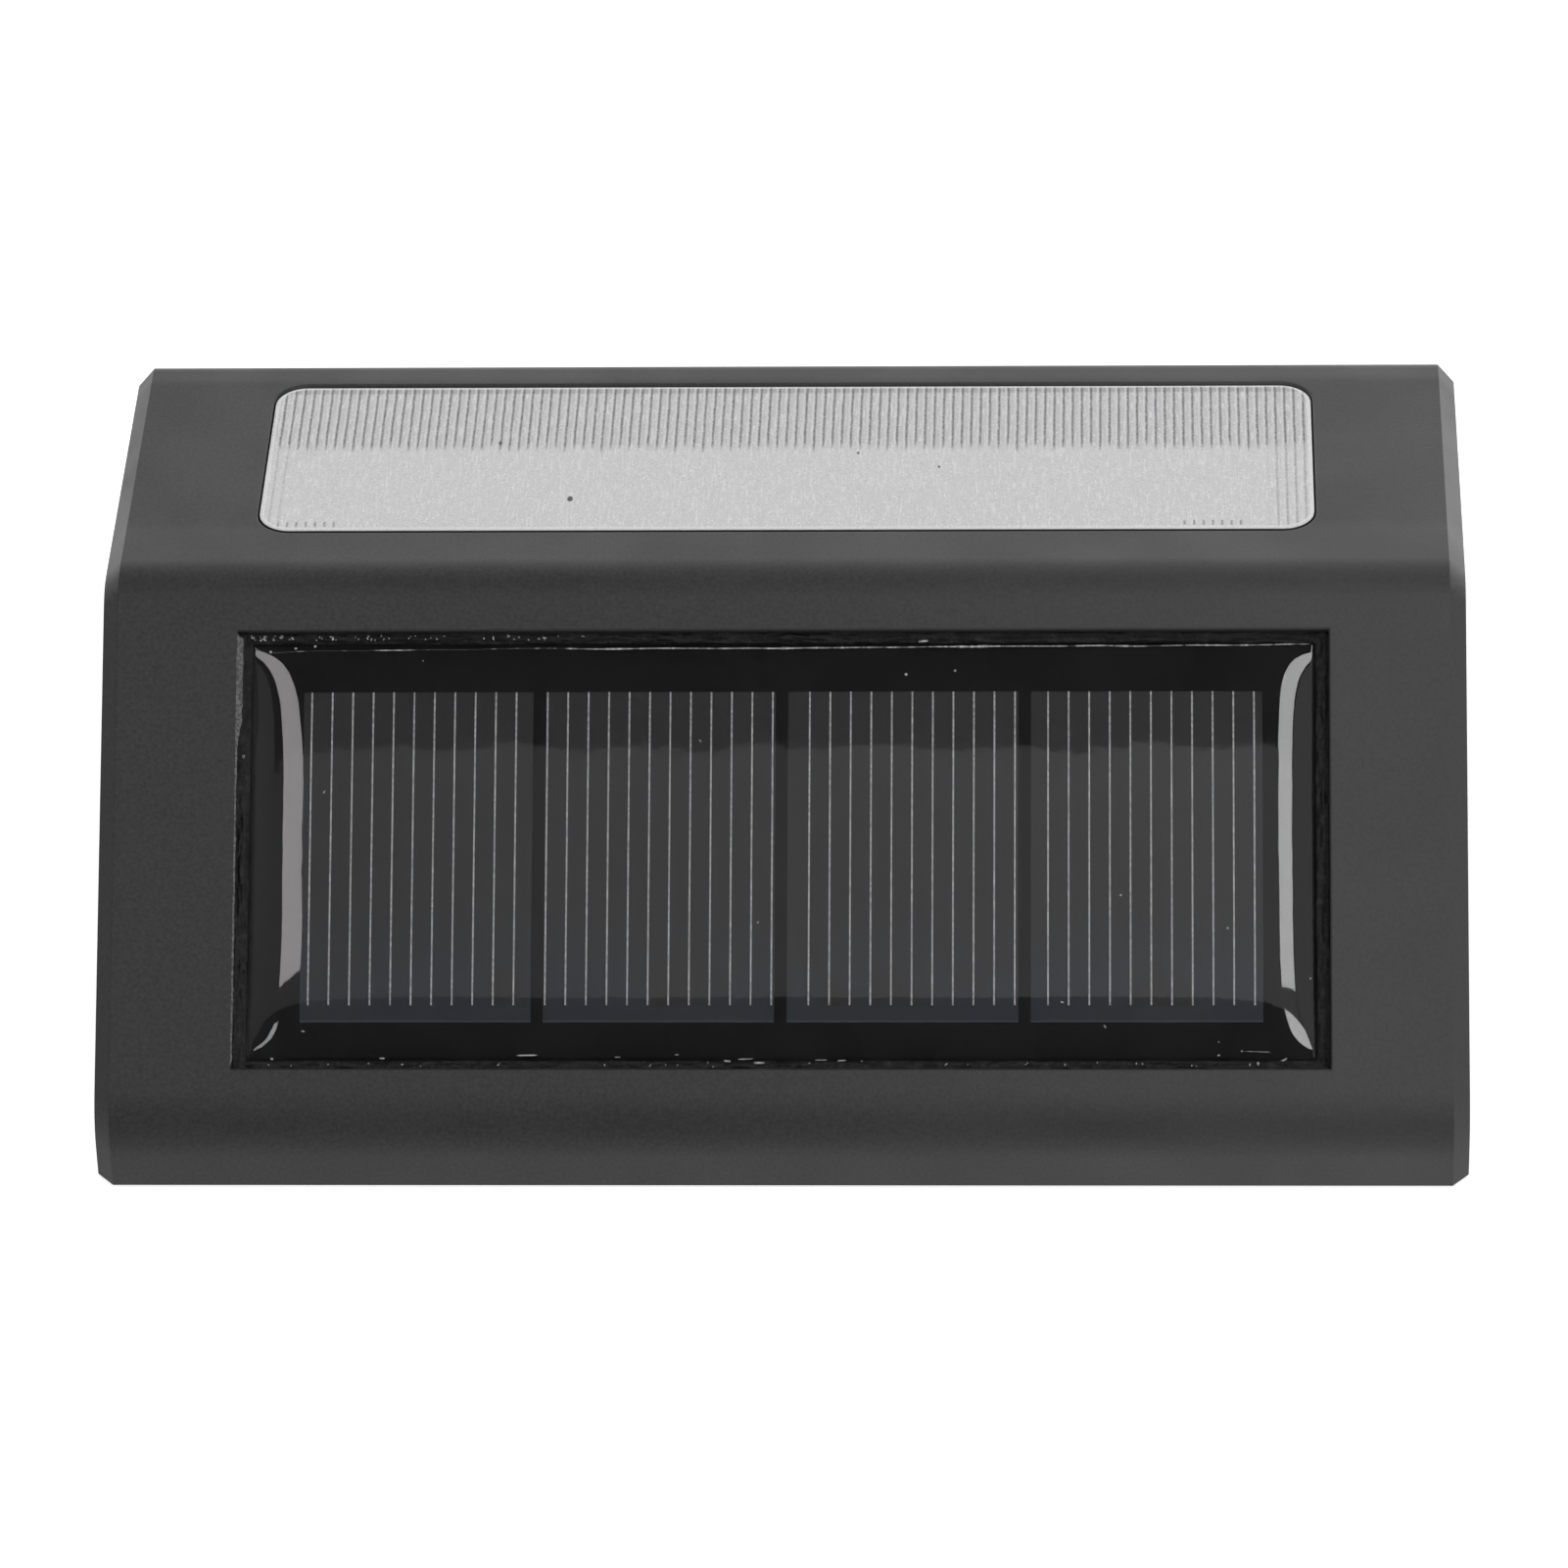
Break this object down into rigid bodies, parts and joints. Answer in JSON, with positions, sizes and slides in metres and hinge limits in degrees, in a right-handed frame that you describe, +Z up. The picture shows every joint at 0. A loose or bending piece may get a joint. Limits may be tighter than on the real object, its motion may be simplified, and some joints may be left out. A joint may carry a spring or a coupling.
{
  "type": "solar fence light",
  "caption": "Wedge-shaped solar wall light: sloping face with a resin-potted solar panel, ribbed frosted lens in front, keyholes and slide switch on the back.",
  "frame": {"origin": "centre of the back face, on the outside of the back cover, in the wall's plane", "axes": "+X along the width, +Y out of the back into the wall, +Z up the wall; the lens faces -Y and the solar panel faces -Y and +Z"},
  "size_m": [0.12, 0.041, 0.07],
  "materials": {
    "housing_plastic": "fine moulded texture, charcoal",
    "cover_plastic": "fine moulded texture, charcoal",
    "lens_plastic": "frosted, translucent",
    "white_plastic": "smooth",
    "screw_steel": "zinc plated",
    "white_board": "white solder mask",
    "led_package": "yellow phosphor",
    "black_board": "black solder mask",
    "silicon": "dark blue-grey solar cell",
    "finger_silver": "fine printed silver lines",
    "clear_resin": "clear, glossy",
    "black_glue": "uneven silicone",
    "seal_rubber": "soft",
    "cradle_plastic": "moulded",
    "foam": "double-sided foam tape",
    "can_steel": "nickel plated",
    "sleeve_film": "plain green shrink film",
    "contact_nickel": "nickel plated",
    "green_board": "green solder mask",
    "chip_plastic": "moulded package",
    "ferrite": "sintered",
    "capacitor_sleeve": "plain dark sleeve",
    "switch_shell": "tinned shell",
    "terminal_brass": "plain",
    "lever_plastic": "moulded",
    "red_wire": "insulation",
    "black_wire": "insulation"
  },
  "bodies": {
    "light": {"back_cover": "cover_plastic", "battery_can": "can_steel", "battery_cradle": "cradle_plastic", "battery_sleeve": "sleeve_film", "battery_wire_black": "black_wire", "battery_wire_red": "red_wire", "board_screws": "screw_steel", "capacitor": "capacitor_sleeve", "cell_fingers_1": "finger_silver", "cell_fingers_2": "finger_silver", "cell_fingers_3": "finger_silver", "cell_fingers_4": "finger_silver", "control_board": "green_board", "cover_gasket": "seal_rubber", "cover_screws": "screw_steel", "diffuser_lens": "lens_plastic", "driver_chip": "chip_plastic", "foam_tape": "foam", "front_housing": "housing_plastic", "inductor": "ferrite", "led_board": "white_board", "led_chips": "led_package", "led_wire_black": "black_wire", "led_wire_red": "red_wire", "light_tray": "white_plastic", "negative_contact": "contact_nickel", "panel_board": "black_board", "panel_sealant": "black_glue", "panel_wire_black": "black_wire", "panel_wire_red": "red_wire", "positive_contact": "contact_nickel", "resin_dome": "clear_resin", "solar_cell_1": "silicon", "solar_cell_2": "silicon", "solar_cell_3": "silicon", "solar_cell_4": "silicon", "switch_case": "switch_shell", "switch_terminals": "terminal_brass", "switch_wire_1": "red_wire", "switch_wire_2": "red_wire", "tray_screws": "screw_steel"},
    "lever": {"switch_lever": "lever_plastic"}
  },
  "joints": [
    {"name": "switch_slide", "type": "slide", "parent": "light", "child": "lever", "axis": [1, 0, 0], "range_m": [0, 0.002]}
  ]
}
